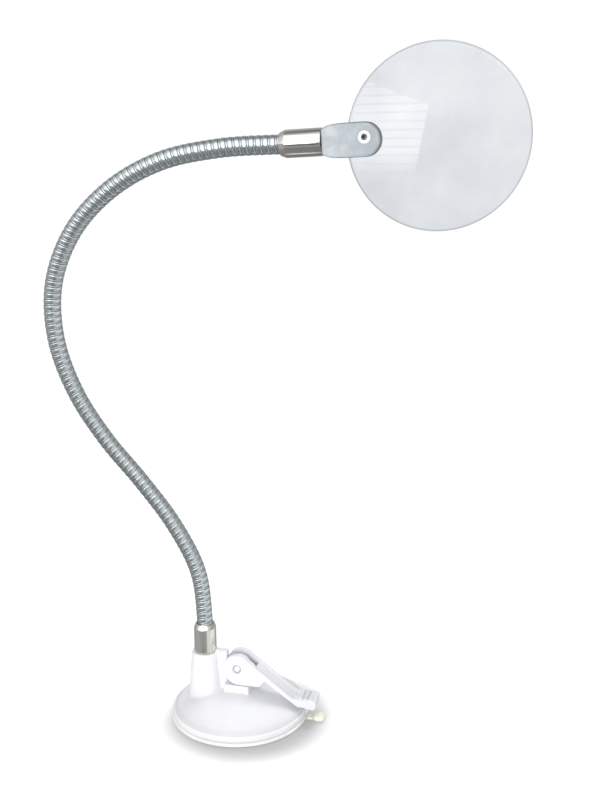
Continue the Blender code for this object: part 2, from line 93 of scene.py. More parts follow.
# Floor: its painted contact shadow runs from dark inside one radius to nothing at another
FLOOR_HALF = 6
FLOOR_DROP = 0.0002
SHADOW_CENTRE = (0.0065, -0.006, 0)
SHADOW_INNER = 34 * MM
SHADOW_OUTER = 64 * MM
SHADOW_FACTOR = 0.46

# Studio: what mirror-like surfaces see. The bands hold (turn, brightness) at the table's, the lens's and the
# roof's height, where a turn of 0.5 is -Y and 0.75 is +X. The last one holds (height, factor). Cards stand at
# one Y and their corners are (x, z).
WHITE_STRENGTH = 1.02
SOFT_LIGHT = (0.592, 0.594, 0.616, 1)
WINDOW_Y = -1.25
WINDOW_CORNERS = [(-0.6, 0.12), (-0.066, 0.12), (-0.011, 0.387), (-0.6, 0.62)]
WINDOW_STRENGTH = 3.9
FLAG_Y = -0.28
FLAG_CORNERS = [(-0.14, 0.256), (0.1, 0.256), (0.1, 0.284), (-0.14, 0.284)]
FRONT_POWER = 8.5
TOP_POWER = 4.3
STUDIO_TABLE = [
    (0.0, 0.30), (0.20, 0.36), (0.28, 0.42), (0.36, 0.40), (0.49, 0.33), (0.556, 0.34), (0.59, 0.42),
    (0.605, 0.80), (0.64, 0.80), (0.66, 0.74), (0.75, 0.95), (0.83, 0.86), (0.90, 0.42), (1.0, 0.30),
]
STUDIO_LEVEL = [
    (0.0, 0.32), (0.22, 0.36), (0.30, 0.60), (0.36, 1.3), (0.42, 1.9), (0.475, 1.9), (0.51, 0.70),
    (0.55, 0.34), (0.63, 0.28), (0.69, 0.36), (0.75, 0.36), (0.82, 0.32), (1.0, 0.32),
]
STUDIO_HIGH = [
    (0.0, 0.42), (0.22, 0.42), (0.33, 0.75), (0.42, 1.65), (0.58, 1.65), (0.66, 0.65), (0.77, 0.42),
    (1.0, 0.42),
]
STUDIO_CEILING = [(0.0, 0.62), (0.17, 0.66), (0.25, 1.0), (0.92, 1.0), (0.95, 0.50), (1.0, 0.46)]

joints = {joint["name"]: joint for joint in frame["joints"]}


# ---------------------------------------------------------------- materials


def set_inputs(shader, values):
    for name, value in values.items():
        shader.inputs[name].default_value = value


def ramp(nodes, stops):
    made = nodes.new("ShaderNodeValToRGB")
    band = made.color_ramp
    band.elements[0].position, band.elements[0].color = stops[0][0], (*[stops[0][1]] * 3, 1)
    band.elements[1].position, band.elements[1].color = stops[-1][0], (*[stops[-1][1]] * 3, 1)
    for position, value in stops[1:-1]:
        band.elements.new(position).color = (*[value] * 3, 1)
    return made


def surface(name, light, dark, size, rough, stretch=(1, 1, 1), grain=None, **values):
    """A Principled material whose colour and roughness wander between two values over the given size."""
    look = bpy.data.materials.new(name)
    look.use_nodes = True
    nodes, links = look.node_tree.nodes, look.node_tree.links
    shader = nodes["Principled BSDF"]
    set_inputs(shader, {key.replace("_", " "): value for key, value in values.items()})
    place = nodes.new("ShaderNodeTexCoord")
    scale = nodes.new("ShaderNodeMapping")
    scale.inputs["Scale"].default_value = stretch
    links.new(place.outputs["Object"], scale.inputs["Vector"])
    clouds = nodes.new("ShaderNodeTexNoise")
    set_inputs(clouds, {"Scale": 1 / size, "Detail": 5.0, "Roughness": 0.6})
    links.new(scale.outputs["Vector"], clouds.inputs["Vector"])
    tint = nodes.new("ShaderNodeValToRGB")
    tint.color_ramp.elements[0].position, tint.color_ramp.elements[1].position = 0.3, 0.7
    tint.color_ramp.elements[0].color = (*dark, 1)
    tint.color_ramp.elements[1].color = (*light, 1)
    links.new(clouds.outputs["Fac"], tint.inputs["Fac"])
    links.new(tint.outputs["Color"], shader.inputs["Base Color"])
    gloss = nodes.new("ShaderNodeMapRange")
    set_inputs(gloss, {"From Min": 0.3, "From Max": 0.7, "To Min": rough[0], "To Max": rough[1]})
    links.new(clouds.outputs["Fac"], gloss.inputs["Value"])
    links.new(gloss.outputs["Result"], shader.inputs["Roughness"])
    if grain:
        fine = nodes.new("ShaderNodeTexNoise")
        set_inputs(fine, {"Scale": 1 / grain[0], "Detail": 2.0})
        links.new(scale.outputs["Vector"], fine.inputs["Vector"])
        bump = nodes.new("ShaderNodeBump")
        set_inputs(bump, {"Strength": grain[1], "Distance": 0.0001})
        links.new(fine.outputs["Fac"], bump.inputs["Height"])
        links.new(bump.outputs["Normal"], shader.inputs["Normal"])
    return look


def paint_light_along_x(look, start, end, low, high):
    """Paints light into the clouded colour of a material, running lighter or darker along X."""
    nodes, links = look.node_tree.nodes, look.node_tree.links
    parts, slope, total = (nodes.new(f"ShaderNode{kind}") for kind in ("SeparateXYZ", "MapRange", "Math"))
    links.new(nodes["Texture Coordinate"].outputs["Object"], parts.inputs[0])
    set_inputs(slope, {"From Min": start, "From Max": end, "To Min": low, "To Max": high})
    links.new(parts.outputs["X"], slope.inputs["Value"])
    links.new(slope.outputs["Result"], total.inputs[0])
    links.new(nodes["Noise Texture"].outputs["Fac"], total.inputs[1])
    links.new(total.outputs["Value"], nodes["Color Ramp"].inputs["Fac"])


def shade_sides(look, colour, start, end):
    """Paints shade into a translucent material's colour where its surface turns away from its own Y,
    darkening its edges.
    """
    nodes, links = look.node_tree.nodes, look.node_tree.links
    parts, size, amount, mix = (
        nodes.new(f"ShaderNode{kind}") for kind in ("SeparateXYZ", "Math", "MapRange", "Mix")
    )
    size.operation = "ABSOLUTE"
    links.new(nodes["Texture Coordinate"].outputs["Normal"], parts.inputs[0])
    links.new(parts.outputs["Y"], size.inputs[0])
    links.new(size.outputs["Value"], amount.inputs["Value"])
    set_inputs(amount, {"From Min": start, "From Max": end, "To Max": 0.85})
    mix.data_type = "RGBA"
    links.new(amount.outputs["Result"], mix.inputs["Factor"])
    links.new(nodes["Color Ramp"].outputs["Color"], mix.inputs[6])
    mix.inputs[7].default_value = (*colour, 1)
    links.new(mix.outputs[2], nodes["Principled BSDF"].inputs["Base Color"])


def shade_rings(look, centre, axes, stops):
    """Paints shade and light into a colour by scaling it in rings round a centre. The stops are (distance,
    factor) along the given axes.
    """
    nodes, links = look.node_tree.nodes, look.node_tree.links
    flat, far, dim = (nodes.new("ShaderNodeVectorMath") for _ in range(3))
    flat.operation, far.operation, dim.operation = "MULTIPLY_ADD", "LENGTH", "SCALE"
    scaled = nodes.new("ShaderNodeMath")
    scaled.operation = "DIVIDE"
    reach = stops[-1][0]
    flat.inputs[1].default_value = axes
    flat.inputs[2].default_value = [-place * axis for place, axis in zip(centre, axes)]
    scaled.inputs[1].default_value = reach
    links.new(nodes["Texture Coordinate"].outputs["Object"], flat.inputs[0])
    links.new(flat.outputs["Vector"], far.inputs[0])
    links.new(far.outputs["Value"], scaled.inputs[0])
    rings = ramp(nodes, [(distance / reach, factor) for distance, factor in stops])
    links.new(scaled.outputs["Value"], rings.inputs["Fac"])
    links.new(nodes["Color Ramp"].outputs["Color"], dim.inputs[0])
    links.new(rings.outputs["Color"], dim.inputs["Scale"])
    links.new(dim.outputs["Vector"], nodes["Principled BSDF"].inputs["Base Color"])


def shade_hollows(look, distance, colour, start, end):
    """Paints shade into a material: its colour turns to another in its own grooves and hollows."""
    nodes, links = look.node_tree.nodes, look.node_tree.links
    hollow = nodes.new("ShaderNodeAmbientOcclusion")
    amount, mix = nodes.new("ShaderNodeMapRange"), nodes.new("ShaderNodeMix")
    hollow.inputs["Distance"].default_value = distance
    hollow.samples = 8
    links.new(hollow.outputs["AO"], amount.inputs["Value"])
    set_inputs(amount, {"From Min": start, "From Max": end, "To Max": 0.9})
    mix.data_type = "RGBA"
    links.new(amount.outputs["Result"], mix.inputs["Factor"])
    links.new(nodes["Color Ramp"].outputs["Color"], mix.inputs[6])
    mix.inputs[7].default_value = (*colour, 1)
    links.new(mix.outputs[2], nodes["Principled BSDF"].inputs["Base Color"])


def dress(thing, look):
    thing.data.materials.clear()
    thing.data.materials.append(look)
    return thing


# ---------------------------------------------------------------- mesh helpers


def mesh_object(name, points, faces, smooth_angle=40):
    mesh = bpy.data.meshes.new(name)
    mesh.from_pydata([tuple(point) for point in points], [], faces)
    thing = bpy.data.objects.new(name, mesh)
    bpy.context.scene.collection.objects.link(thing)
    tidy_normals(thing, smooth_angle)
    return thing


def tidy_normals(thing, smooth_angle=40):
    work = bmesh.new()
    work.from_mesh(thing.data)
    bmesh.ops.recalc_face_normals(work, faces=work.faces)
    work.to_mesh(thing.data)
    work.free()
    thing.data.shade_smooth()
    thing.data.set_sharp_from_angle(angle=math.radians(smooth_angle))


def lathe(name, profile, steps=96, closed=False, smooth_angle=40):
    """Turns (radius, height) pairs about Z. Points on the axis become poles."""
    points, rings = [], []
    for radius, height in profile:
        if radius < 1e-9:
            rings.append([len(points)])
            points.append((0, 0, height))
            continue
        rings.append(range(len(points), len(points) + steps))
        turns = np.arange(steps) * 2 * math.pi / steps
        points += [(radius * math.cos(turn), radius * math.sin(turn), height) for turn in turns]
    faces = []
    for low, high in zip(rings, rings[1:] + rings[:1] if closed else rings[1:]):
        for i in range(steps):
            j = (i + 1) % steps
            if len(low) == 1:
                faces.append((low[0], high[j], high[i]))
            elif len(high) == 1:
                faces.append((low[i], low[j], high[0]))
            else:
                faces.append((low[i], low[j], high[j], high[i]))
    return mesh_object(name, points, faces, smooth_angle)


def rounded(points, radius, steps=4):
    """A polyline profile with each inner corner replaced by a small curve."""
    points = [Vector(point) for point in points]
    out = [points[0]]
    for before, corner, after in zip(points, points[1:], points[2:]):
        reach = min(radius, (corner - before).length / 2, (after - corner).length / 2)
        start = corner + (before - corner).normalized() * reach
        end = corner + (after - corner).normalized() * reach
        for step in range(steps + 1):
            t = step / steps
            out.append(start.lerp(corner, t).lerp(corner.lerp(end, t), t))
    return [tuple(point) for point in out + [points[-1]]]


def prism(name, outline, low, high):
    """Extrudes an (x, z) outline along Y."""
    count = len(outline)
    points = [(x, y, z) for y in (low, high) for x, z in outline]
    faces = [tuple(range(count)), tuple(range(2 * count - 1, count - 1, -1))]
    faces += [(i, (i + 1) % count, count + (i + 1) % count, count + i) for i in range(count)]
    return mesh_object(name, points, faces)


def tube(name, points, ring):
    """A skin over equal rings of points, closed at both ends."""
    rows = len(points) // ring
    faces = [tuple(range(ring)), tuple(range((rows - 1) * ring, rows * ring))]
    for k in range(rows - 1):
        for i in range(ring):
            j = (i + 1) % ring
            faces.append((k * ring + i, k * ring + j, (k + 1) * ring + j, (k + 1) * ring + i))
    return mesh_object(name, points, faces)


def block(name, low, high):
    outline = [(low[0], low[2]), (high[0], low[2]), (high[0], high[2]), (low[0], high[2])]
    return prism(name, outline, low[1], high[1])


def rod(name, start, end, radius, steps=48):
    """A plain round cutter or core between two points."""
    start, end = Vector(start), Vector(end)
    length = (end - start).length
    turn = (end - start).to_track_quat("Z", "Y").to_matrix().to_4x4()
    thing = lathe(name, [(0, 0), (radius, 0), (radius, length), (0, length)], steps)
    turn.translation = start
    thing.data.transform(turn)
    return thing


def apply_all(thing):
    graph = bpy.context.evaluated_depsgraph_get()
    mesh = bpy.data.meshes.new_from_object(thing.evaluated_get(graph))
    thing.modifiers.clear()
    thing.data = mesh
    return thing


def boolean(thing, other, operation):
    change = thing.modifiers.new("boolean", "BOOLEAN")
    change.operation = operation
    change.solver = "EXACT"
    change.object = other
    apply_all(thing)
    bpy.data.objects.remove(other)
    return thing


def soften(thing, voxel, passes, factor=0.5, most_faces=None):
    """Merges what overlaps in the mesh into one skin and rounds its edges a little, as moulding does."""
    skin = thing.modifiers.new("skin", "REMESH")
    skin.mode = "VOXEL"
    skin.voxel_size = voxel
    skin.adaptivity = 0
    relax = thing.modifiers.new("relax", "SMOOTH")
    relax.iterations = passes
    relax.factor = factor
    apply_all(thing)
    if most_faces and len(thing.data.polygons) * 2 > most_faces:
        fewer = thing.modifiers.new("fewer", "DECIMATE")
        fewer.ratio = most_faces / (len(thing.data.polygons) * 2)
        apply_all(thing)
    thing.data.shade_smooth()
    return thing


def joined(name, things):
    """One object that holds the meshes of all the things."""
    work = bmesh.new()
    for thing in things:
        work.from_mesh(thing.data)
        bpy.data.objects.remove(thing)
    mesh = bpy.data.meshes.new(name)
    work.to_mesh(mesh)
    work.free()
    out = bpy.data.objects.new(name, mesh)
    bpy.context.scene.collection.objects.link(out)
    return out


def arc(centre, radius, start, end, count):
    turns = np.radians(np.linspace(start, end, count))
    return [(centre[0] + radius * math.cos(t), centre[1] + radius * math.sin(t)) for t in turns]


# ---------------------------------------------------------------- finishes

white_abs, shell_abs_painted_shading = (
    surface(
        name, (0.86, 0.86, 0.872), (0.81, 0.812, 0.83), 18 * MM, (0.36, 0.48), grain=(0.5 * MM, 0.03),
        Coat_Weight=0.05, Coat_Roughness=0.35, Subsurface_Weight=0.04, Subsurface_Scale=0.002,
    )
    for name in ("white_abs", "shell_abs_painted_shading")
)
# Painted shade in the shell's crease, and a little painted light on the rest of it
shade_rings(shell_abs_painted_shading, (0, 0, 0), (1, 1, 0), SHELL_PAINTED_SHADING)
lever_abs_painted_hollow_shade = surface(
    "lever_abs_painted_hollow_shade", (0.85, 0.85, 0.865), (0.80, 0.803, 0.825), 12 * MM, (0.34, 0.46), grain=(0.5 * MM, 0.03),
    Coat_Weight=0.05, Coat_Roughness=0.35,
)
# Painted shade: the lever's colour turns bluish grey in its grooves and hollows
shade_hollows(lever_abs_painted_hollow_shade, 5 * MM, (0.50, 0.53, 0.58), 0.97, 0.62)
vinyl = surface(
    "clear_vinyl", (0.985, 0.985, 0.955), (0.95, 0.965, 0.915), 9 * MM, (0.3, 0.45),
    IOR=1.5, Subsurface_Weight=0.15, Subsurface_Scale=0.0015,
)
tab_vinyl = surface(
    "tab_vinyl", (0.91, 0.925, 0.79), (0.85, 0.88, 0.70), 4 * MM, (0.2, 0.35),
    IOR=1.5, Subsurface_Weight=0.2, Subsurface_Scale=0.001,
)
nickel = surface(
    "nickel", (0.90, 0.89, 0.83), (0.81, 0.80, 0.745), 1.6 * MM, (0.10, 0.18), stretch=(1, 1, 0.12),
    Metallic=1.0,
)
wedge_steel = surface(
    "wedge_steel", (0.74, 0.80, 0.82), (0.62, 0.68, 0.705), 2.5 * MM, (0.22, 0.32), Metallic=1.0,
)
round_steel = surface(
    "round_steel", (0.68, 0.73, 0.75), (0.52, 0.57, 0.59), 1.5 * MM, (0.26, 0.38), Metallic=1.0,
)
zinc = surface("zinc", (0.50, 0.51, 0.53), (0.34, 0.35, 0.37), 1.2 * MM, (0.28, 0.45), Metallic=1.0)
frosted = surface(
    "frosted_polycarbonate", (0.72, 0.765, 0.785), (0.50, 0.56, 0.60), 4.2 * MM, (0.42, 0.55),
    grain=(0.35 * MM, 0.25), Transmission_Weight=0.5, IOR=1.45, Subsurface_Weight=0.1, Subsurface_Scale=0.003,
)
# Painted shade: the lens's grey tint stands for the darker room seen in and through it
acrylic = surface(
    "clear_acrylic", (0.80, 0.825, 0.85), (0.66, 0.68, 0.72), 38 * MM, (0.0, 0.003),
    Transmission_Weight=1.0, IOR=1.49,
)
# Painted light: the lens runs lighter along X
paint_light_along_x(acrylic, 34 * MM, 125 * MM, -0.10, 0.16)
# Painted light: the holder runs lighter towards its root and darker towards its tip
paint_light_along_x(frosted, 22 * MM, 50 * MM, 0.16, -0.06)
# Painted shade: the holder's edges, which turn away from its Y, are painted darker
shade_sides(frosted, (0.24, 0.28, 0.31), 0.95, 0.4)
nylon = surface("white_nylon", (0.93, 0.93, 0.93), (0.86, 0.86, 0.87), 1.5 * MM, (0.3, 0.42))


# ---------------------------------------------------------------- gooseneck


def head_axes():
    """Origin at the upper ferrule's mouth, X along the head, Y away from the viewer's side, Z up."""
    y_axis = -Vector(joints["lens_swing"]["axis"]).normalized()
    points = np.array([vertex.co for vertex in frame["nodes"]["upper_ferrule"].data.vertices])
    middle = points.mean(axis=0)
    x_axis = Vector(np.linalg.svd(points - middle, full_matrices=False)[2][0]).normalized()
    if x_axis.dot(Vector(joints["lens_swing"]["pos_m"]) - Vector(middle)) < 0:
        x_axis.negate()
    mouth = ((points - middle) @ np.array(x_axis)).min()
    origin = Vector(middle) + x_axis * float(mouth)
    return origin, x_axis, y_axis, x_axis.cross(y_axis).normalized()


head_origin, head_x, head_y, head_z = head_axes()


class NeckLine:
    """The neck's centre line through its bend points, with frames that don't twist."""

    def __init__(self):
        low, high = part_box("lower_ferrule")
        mouth = Vector(((low.x + high.x) / 2, (low.y + high.y) / 2, high.z))
        bends = [Vector(joints[f"neck_bend_{i:02d}"]["pos_m"]) for i in range(1, 12)]
        up = Vector((0, 0, NECK_STUB))
        along = head_x * NECK_STUB
        knots = [mouth - up * 2, mouth - up, mouth, *bends]
        knots += [head_origin, head_origin + along, head_origin + along * 2]
        line = []
        for p0, p1, p2, p3 in zip(knots, knots[1:], knots[2:], knots[3:]):
            t1 = (p1 - p0).length ** 0.5
            t2 = t1 + (p2 - p1).length ** 0.5
            t3 = t2 + (p3 - p2).length ** 0.5
            for step in range(LINE_STEPS):
                t = t1 + (t2 - t1) * step / LINE_STEPS
                a1, a2 = p0.lerp(p1, t / t1), p1.lerp(p2, (t - t1) / (t2 - t1))
                a3 = p2.lerp(p3, (t - t2) / (t3 - t2))
                line.append(a1.lerp(a2, t / t2).lerp(a2.lerp(a3, (t - t1) / (t3 - t1)), (t - t1) / (t2 - t1)))
        line.append(knots[-2])
        self.points = np.array(line)
        steps = np.linalg.norm(np.diff(self.points, axis=0), axis=1)
        self.lengths = np.concatenate([[0.0], np.cumsum(steps)])
        self.tangents = np.gradient(self.points, self.lengths, axis=0)
        self.tangents /= np.linalg.norm(self.tangents, axis=1)[:, None]
        side = np.cross(self.tangents[0], [0.0, 1.0, 0.0])
        sides = []
        for tangent in self.tangents:
            side = side - tangent * (side @ tangent)
            side /= np.linalg.norm(side)
            sides.append(side)
        self.sides = np.array(sides)
        self.bends = [self.length_at(bend) for bend in bends]

    def length_at(self, place):
        return float(self.lengths[np.linalg.norm(self.points - np.array(place), axis=1).argmin()])

    def sample(self, values, lengths):
        return np.stack([np.interp(lengths, self.lengths, values[:, axis]) for axis in range(3)], axis=-1)

    def helix(self, name, start, end, section, offset, smooth_angle):
        """A wire of the given (along, out) section, wound round the line from one arc length to another."""
        first, last = round(start / HELIX_PITCH * HELIX_STEPS), round(end / HELIX_PITCH * HELIX_STEPS)
        turns = np.arange(first, last + 1) / HELIX_STEPS
        section = np.array(section)
        lengths = (turns * HELIX_PITCH)[:, None] + section[None, :, 0] + offset
        centre = self.sample(self.points, lengths)
        tangent = self.sample(self.tangents, lengths)
        side = self.sample(self.sides, lengths)
        angle = (turns * 2 * math.pi)[:, None, None]
        out = side * np.cos(angle) + np.cross(tangent, side) * np.sin(angle)
        points = (centre + out * section[None, :, 1, None]).reshape(-1, 3)
        count, rows = len(section), len(turns)
        faces = [tuple(range(count)), tuple(range((rows - 1) * count, rows * count))[::-1]]
        for row in range(rows - 1):
            base = row * count
            for i in range(count):
                j = (i + 1) % count
                faces.append((base + i, base + j, base + count + j, base + count + i))
        return mesh_object(name, points, faces, smooth_angle)


def build_neck():
    line = NeckLine()
    middles = [(a + b) / 2 for a, b in zip(line.bends, line.bends[1:])]
    stops = [0.0, *middles, float(line.lengths[-1]) - HELIX_PITCH]
    wedge_section = [(along * MM, out * MM) for along, out in WEDGE_SECTION_MM]
    round_section = [(x, ROUND_WIRE_CENTRE + z) for x, z in arc((0, 0), ROUND_WIRE_RADIUS, 0, 324, 10)]
    for i, bend in enumerate(line.bends):
        start, end = stops[i], stops[i + 1]
        for kind, section, offset, look, slot, angle in (
            ("wedge", wedge_section, 0.0, wedge_steel, "wedge_wire", 50),
            ("round", round_section, HELIX_PITCH / 2, round_steel, "round_wire", 80),
        ):
            wire = line.helix(f"neck_{kind}_helix_{i + 1:02d}", start, end, section, offset, angle)
            dress(wire, look)
            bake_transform(wire)
            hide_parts(f"neck_{kind}_wire_{i + 1:02d}")
            if i == len(line.bends) - 1:
                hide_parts(f"neck_{kind}_wire_{i + 2:02d}")


build_neck()


# ---------------------------------------------------------------- base

SHELL_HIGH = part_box("base_shell")[1]
FERRULE_LOW, FERRULE_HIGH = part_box("lower_ferrule")
COLUMN_X = (FERRULE_LOW.x + FERRULE_HIGH.x) / 2
COLUMN_TOP = FERRULE_LOW.z - 0.3 * MM
BOLT_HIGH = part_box("base_bolt")[1]
PIN_LOW, PIN_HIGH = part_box("lever_pin")
PIN_Z = (PIN_LOW.z + PIN_HIGH.z) / 2

# Shell: the dome runs from its crease to its crown, and the flange's outline is (radius, height) in mm
CREASE_RADIUS = 41.4 * MM
CREASE_Z = 7.0 * MM
CROWN_RADIUS = 9 * MM
CROWN_RISE = 8.6 * MM
DOME_BULGE = 1.0 * MM
DOME_WALL = 2.2 * MM
FLANGE_MM = [
    (39.8, 7.42), (40.4, 7.1), (40.75, 6.7), (40.95, 6.2), (41.15, 5.85), (41.4, 5.9), (41.7, 6.05),
    (42.0, 6.0), (42.3, 5.75), (42.5, 5.2), (42.5, 3.1), (42.35, 2.6), (42.0, 2.3), (40.6, 2.3), (40.3, 3.0),
]
COLUMN_RADIUS = 8.55 * MM
COLUMN_SHOULDER = 0.8 * MM
COLUMN_FOOT_RADIUS = 11.2 * MM
COLUMN_FOOT_Z = 7.5 * MM
BOLT_HOLE = 2.75 * MM
WELL_RADIUS = 5.4 * MM
FORK_GAP_HALF = 2.8 * MM

# Cup: (radius, height) in mm, from the stem's socket to the foot of the rim, then under the rim to the middle
CUP_TOP_MM = [
    (0.0, 5.2), (5.3, 5.2), (5.3, 8.0), (2.9, 8.0), (2.9, 10.6), (7.4, 10.6), (8.0, 10.2), (8.6, 6.4),
    (9.4, 5.7), (14, 5.0), (20, 4.6), (32, 3.4), (39.3, 2.0), (41.6, 2.0),
]
CUP_RIM_MM = [(0.6, 1.95), (0.15, 1.7), (0, 1.3), (0, 0.7), (0.15, 0.25), (0.5, 0.0)]
CUP_UNDER_MM = [(33, 0.0), (26, 0.9), (12, 2.3), (0.0, 2.6)]

# Tab: half width of its neck, and the bead's reach, half height, middle and how much of it is straight
TAB_NECK_HALF = 2.3 * MM
BEAD_INSET = 3.9 * MM
BEAD_REACH = 3.85 * MM
BEAD_HALF = 1.88 * MM
BEAD_Z = 1.9 * MM
BEAD_STRAIGHT = 0.4
BEAD_ROWS = 26
BEAD_RING = 20


def dome_height(radius):
    """Outer surface of the shell, rising from its crease to its flat crown."""
    share = min(1.0, max(0.0, (CREASE_RADIUS - radius) / (CREASE_RADIUS - CROWN_RADIUS)))
    return CREASE_Z + CROWN_RISE * share + DOME_BULGE * math.sin(math.pi * share)


def build_shell():
    outer = [(0.0, 15.6 * MM)]
    outer += [(radius * MM, dome_height(radius * MM)) for radius in np.linspace(9, 39.0, 22)]
    outer += [(radius * MM, height * MM) for radius, height in FLANGE_MM]
    inner = [(radius * MM, dome_height(radius * MM) - DOME_WALL) for radius in np.linspace(39.9, 10, 12)]
    shell = lathe("base_shell_moulding", outer + inner + [(0.0, 13.2 * MM)], 144)

    top = COLUMN_TOP
    wall = [(0.0, top), (7.8 * MM, top), (8.35 * MM, top - 0.2 * MM), (COLUMN_RADIUS, top - COLUMN_SHOULDER)]
    wall += [(COLUMN_FOOT_RADIUS, COLUMN_FOOT_Z), (0.0, COLUMN_FOOT_Z)]
    column = lathe("column", wall, 72)
    column.data.transform(translation(COLUMN_X, 0, 0))
    fillet = column_fillet()
    bridge = block("bridge", (-15.6 * MM, -2.4 * MM, 13 * MM), (-7.6 * MM, 2.4 * MM, SHELL_HIGH.z))
    guide = block("guide", (-8.7 * MM, -7 * MM, 13.5 * MM), (7.4 * MM, 7 * MM, 20.5 * MM))
    for piece, width in ((bridge, 0.4 * MM), (guide, 0.35 * MM)):
        edges = piece.modifiers.new("edges", "BEVEL")
        edges.width = width
        edges.segments = 3
        apply_all(piece)
    shell = joined("base_shell_moulding", [shell, column, fillet, bridge, guide])
    soften(shell, 0.34 * MM, 3)

    slot = block("slot", (-4.9 * MM, -FORK_GAP_HALF, 8 * MM), (4.9 * MM, FORK_GAP_HALF, 26 * MM))
    boolean(shell, slot, "DIFFERENCE")
    well = rod("well", (COLUMN_X, 0, 0), (COLUMN_X, 0, BOLT_HIGH.z - 15 * MM), WELL_RADIUS)
    boolean(shell, well, "DIFFERENCE")
    hole = rod("hole", (COLUMN_X, 0, 0), (COLUMN_X, 0, top + 5 * MM), BOLT_HOLE)
    boolean(shell, hole, "DIFFERENCE")
    tidy_normals(shell, 45)
    dress(shell, shell_abs_painted_shading)
    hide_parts("base_shell")
    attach(shell, "base")


def translation(x, y, z):
    return Matrix.Translation((x, y, z))


def column_fillet():
    """A soft skirt where the column rises out of the dome."""
    reach, under, steps, count = 2.6 * MM, 1.5 * MM, 6, 72
    slope = (COLUMN_FOOT_RADIUS - COLUMN_RADIUS) / (COLUMN_TOP - COLUMN_SHOULDER - COLUMN_FOOT_Z)
    points, faces = [], []
    for i in range(count):
        turn = 2 * math.pi * i / count
        ray = Vector((math.cos(turn), math.sin(turn), 0))
        foot = Vector((COLUMN_X, 0, 0)) + ray * COLUMN_FOOT_RADIUS
        foot.z = dome_height(foot.xy.length)
        foot -= ray * slope * (foot.z - COLUMN_FOOT_Z)
        wall = foot + Vector((-ray.x * slope, -ray.y * slope, 1)) * reach
        out = foot + ray * reach
        out.z = dome_height(out.xy.length)
        inner = foot - ray * under - Vector((0, 0, under))
        ring = [wall.lerp(foot, t).lerp(foot.lerp(out, t), t) for t in np.linspace(0, 1, steps)]
        ring += [out - Vector((0, 0, 0.8 * MM)), inner, wall - ray * under]
        points += ring
    size = steps + 3
    for i in range(count):
        j = (i + 1) % count
        for k in range(size):
            m = (k + 1) % size
            faces.append((i * size + k, j * size + k, j * size + m, i * size + m))
    return mesh_object("fillet", points, faces)


build_shell()


def build_cup():
    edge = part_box("suction_cup")[1].x
    profile = [(radius * MM, z * MM) for radius, z in CUP_TOP_MM]
    profile += [(edge - inset * MM, z * MM) for inset, z in CUP_RIM_MM]
    profile += [(radius * MM, z * MM) for radius, z in CUP_UNDER_MM]
    cup = lathe("suction_cup_vinyl", profile, 144, smooth_angle=35)
    dress(cup, vinyl)
    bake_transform(cup)
    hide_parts("suction_cup")


build_cup()


def build_tab():
    """A flat neck out of the rim and a soft roll across its tip."""
    low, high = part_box("release_tab")
    roll_x = high.x - BEAD_INSET
    neck = block("neck", (low.x + 0.1 * MM, -TAB_NECK_HALF, 0.3 * MM), (roll_x, TAB_NECK_HALF, 1.7 * MM))
    points = []
    for k in range(BEAD_ROWS):
        y = (-1 + 2 * k / (BEAD_ROWS - 1)) * (high.y - 0.05 * MM)
        share = abs(y) / high.y
        end = math.sqrt(max(0.0, 1 - max(0.0, (share - BEAD_STRAIGHT) / (1 - BEAD_STRAIGHT)) ** 2))
        size = max(0.05, end)
        for i in range(BEAD_RING):
            turn = 2 * math.pi * i / BEAD_RING
            x = roll_x + BEAD_REACH * size * math.cos(turn)
            z = BEAD_Z + BEAD_HALF * size * math.sin(turn)
            points.append((x, y, z))
    bead = tube("bead", points, BEAD_RING)
    tab = joined("release_tab_vinyl", [neck, bead])
    soften(tab, 0.2 * MM, 4)
    dress(tab, tab_vinyl)
    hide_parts("release_tab")
    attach(tab, "release_tab")


build_tab()


# ---------------------------------------------------------------- lever


# The cam's radius falls by the stem's travel over the lever's turn in degrees, then meets the hub
CAM_RADIUS = 10.65 * MM
CAM_TRAVEL = 2.3 * MM
CAM_TURN = 85
CAM_BLEND = 20
HUB_RADIUS = 8.8 * MM

# Arm and finger pad in the lever's plane, as (x, z) from the pin in mm
ARM_MM = [
    (0, -10.65), (13.9, -10.65), (15.0, -9.7), (17.6, -6.2), (39.2, -21.7), (40.8, -21.1), (47.8, -22.4),
    (49.9, -21.6), (50.4, -19.0), (50.3, -16.9), (49.0, -16.15), (35.4, -16.2), (6.1, 6.4),
]
TROUGH_START = Vector((9.0, 0, 38.1)) * MM
TROUGH_END = Vector((38.4, 0, 15.5)) * MM
TROUGH_DEPTH = 2.7 * MM
TROUGH_FLOOR_HALF = 3.9 * MM
TROUGH_LIP = 1.15 * MM
TROUGH_ROWS = 21
TROUGH_RING = 17
PIN_SINK = 2.9 * MM
PIN_BORE = 2.4 * MM


def cam_radius(angle):
    drop = CAM_TRAVEL / math.radians(CAM_TURN) * math.radians(min(angle, CAM_TURN))
    share = max(0.0, (angle - CAM_TURN) / CAM_BLEND)
    return (CAM_RADIUS - drop) * (1 - share) + HUB_RADIUS * share


def lever_outline():
    outline = arc((0, 0), HUB_RADIUS, 44, 165, 40)
    for angle in np.linspace(95, 0, 24):
        turn = math.radians(-90 - angle)
        outline.append((cam_radius(angle) * math.cos(turn), cam_radius(angle) * math.sin(turn)))
    corners = [(x * MM, z * MM) for x, z in ARM_MM]
    return outline + rounded(corners, 1.2 * MM, 4)[1:-1]


